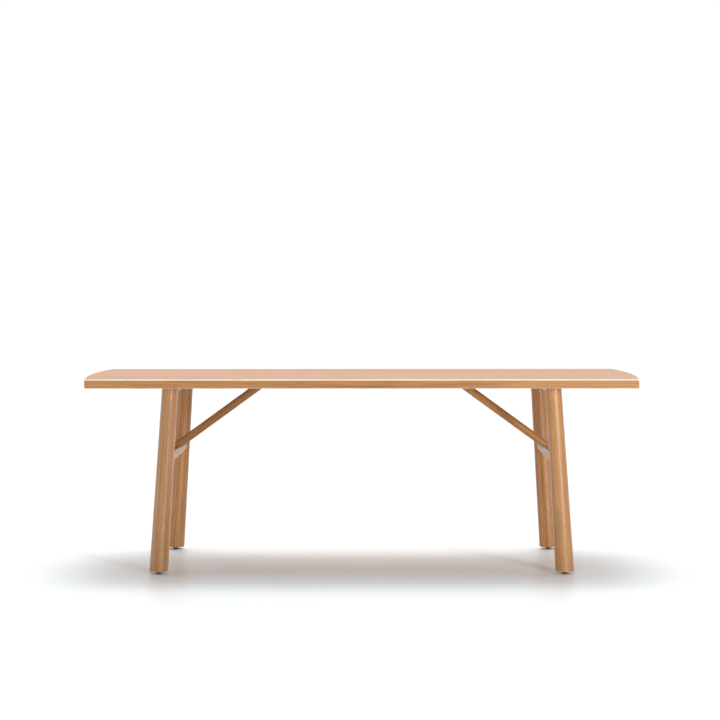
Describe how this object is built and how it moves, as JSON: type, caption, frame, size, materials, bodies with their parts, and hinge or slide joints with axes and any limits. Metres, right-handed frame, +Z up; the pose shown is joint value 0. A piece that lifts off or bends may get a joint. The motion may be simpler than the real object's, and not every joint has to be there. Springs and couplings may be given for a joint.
{
  "type": "trestle table",
  "caption": "Long solid wood table with bowed ends, round tapered leaning legs, flat rails, round diagonal braces and levelling feet.",
  "frame": {"origin": "on the floor, under the middle of the top", "axes": "+X along the top to the right end, +Y to the back, +Z up"},
  "size_m": [2.1398, 0.95, 0.74],
  "materials": {
    "top_wood": "satin oiled hardwood",
    "leg_wood": "satin oiled hardwood, grain along the leg",
    "rail_wood": "satin oiled hardwood, grain along the rail",
    "brace_wood": "satin oiled hardwood, grain along the brace",
    "foot_pad": "moulded matt black",
    "black_steel": "black oxide",
    "zinc_steel": "bright zinc plate",
    "insert_brass": "turned"
  },
  "bodies": {
    "table": {"top_board_1": "top_wood", "top_board_2": "top_wood", "top_board_3": "top_wood", "top_board_4": "top_wood", "top_board_5": "top_wood", "top_board_6": "top_wood", "top_board_7": "top_wood", "leg_front_left": "leg_wood", "leg_back_left": "leg_wood", "leg_front_right": "leg_wood", "leg_back_right": "leg_wood", "stretcher_left": "rail_wood", "stretcher_right": "rail_wood", "top_rail_left": "rail_wood", "top_rail_right": "rail_wood", "brace_left": "brace_wood", "brace_right": "brace_wood", "rail_bolts": "zinc_steel", "brace_bolts": "zinc_steel", "rail_washers": "zinc_steel", "rail_inserts": "insert_brass", "brace_inserts": "insert_brass", "foot_inserts": "insert_brass"},
    "pad_front_left": {"foot_pad_front_left": "foot_pad"},
    "screw_front_left": {"foot_screw_front_left": "black_steel"},
    "pad_back_left": {"foot_pad_back_left": "foot_pad"},
    "screw_back_left": {"foot_screw_back_left": "black_steel"},
    "pad_front_right": {"foot_pad_front_right": "foot_pad"},
    "screw_front_right": {"foot_screw_front_right": "black_steel"},
    "pad_back_right": {"foot_pad_back_right": "foot_pad"},
    "screw_back_right": {"foot_screw_back_right": "black_steel"}
  },
  "joints": [
    {"name": "foot_travel_front_left", "type": "slide", "parent": "table", "child": "pad_front_left", "axis": [0, 0, -1], "range_m": [0, 0.01]},
    {"name": "foot_turn_front_left", "type": "hinge", "parent": "pad_front_left", "child": "screw_front_left", "pos_m": [-0.77048, -0.391, 0.005], "axis": [0, 0, 1], "range_deg": [0, 2881]},
    {"name": "foot_travel_back_left", "type": "slide", "parent": "table", "child": "pad_back_left", "axis": [0, 0, -1], "range_m": [0, 0.01]},
    {"name": "foot_turn_back_left", "type": "hinge", "parent": "pad_back_left", "child": "screw_back_left", "pos_m": [-0.77048, 0.391, 0.005], "axis": [0, 0, 1], "range_deg": [0, 2881]},
    {"name": "foot_travel_front_right", "type": "slide", "parent": "table", "child": "pad_front_right", "axis": [0, 0, -1], "range_m": [0, 0.01]},
    {"name": "foot_turn_front_right", "type": "hinge", "parent": "pad_front_right", "child": "screw_front_right", "pos_m": [0.77048, -0.391, 0.005], "axis": [0, 0, 1], "range_deg": [0, 2881]},
    {"name": "foot_travel_back_right", "type": "slide", "parent": "table", "child": "pad_back_right", "axis": [0, 0, -1], "range_m": [0, 0.01]},
    {"name": "foot_turn_back_right", "type": "hinge", "parent": "pad_back_right", "child": "screw_back_right", "pos_m": [0.77048, 0.391, 0.005], "axis": [0, 0, 1], "range_deg": [0, 2881]}
  ],
  "couplings": [
    {"joint": "foot_turn_front_left", "follows": "foot_travel_front_left", "rad_per_m": 5026.5},
    {"joint": "foot_turn_back_left", "follows": "foot_travel_back_left", "rad_per_m": 5026.5},
    {"joint": "foot_turn_front_right", "follows": "foot_travel_front_right", "rad_per_m": 5026.5},
    {"joint": "foot_turn_back_right", "follows": "foot_travel_back_right", "rad_per_m": 5026.5}
  ]
}
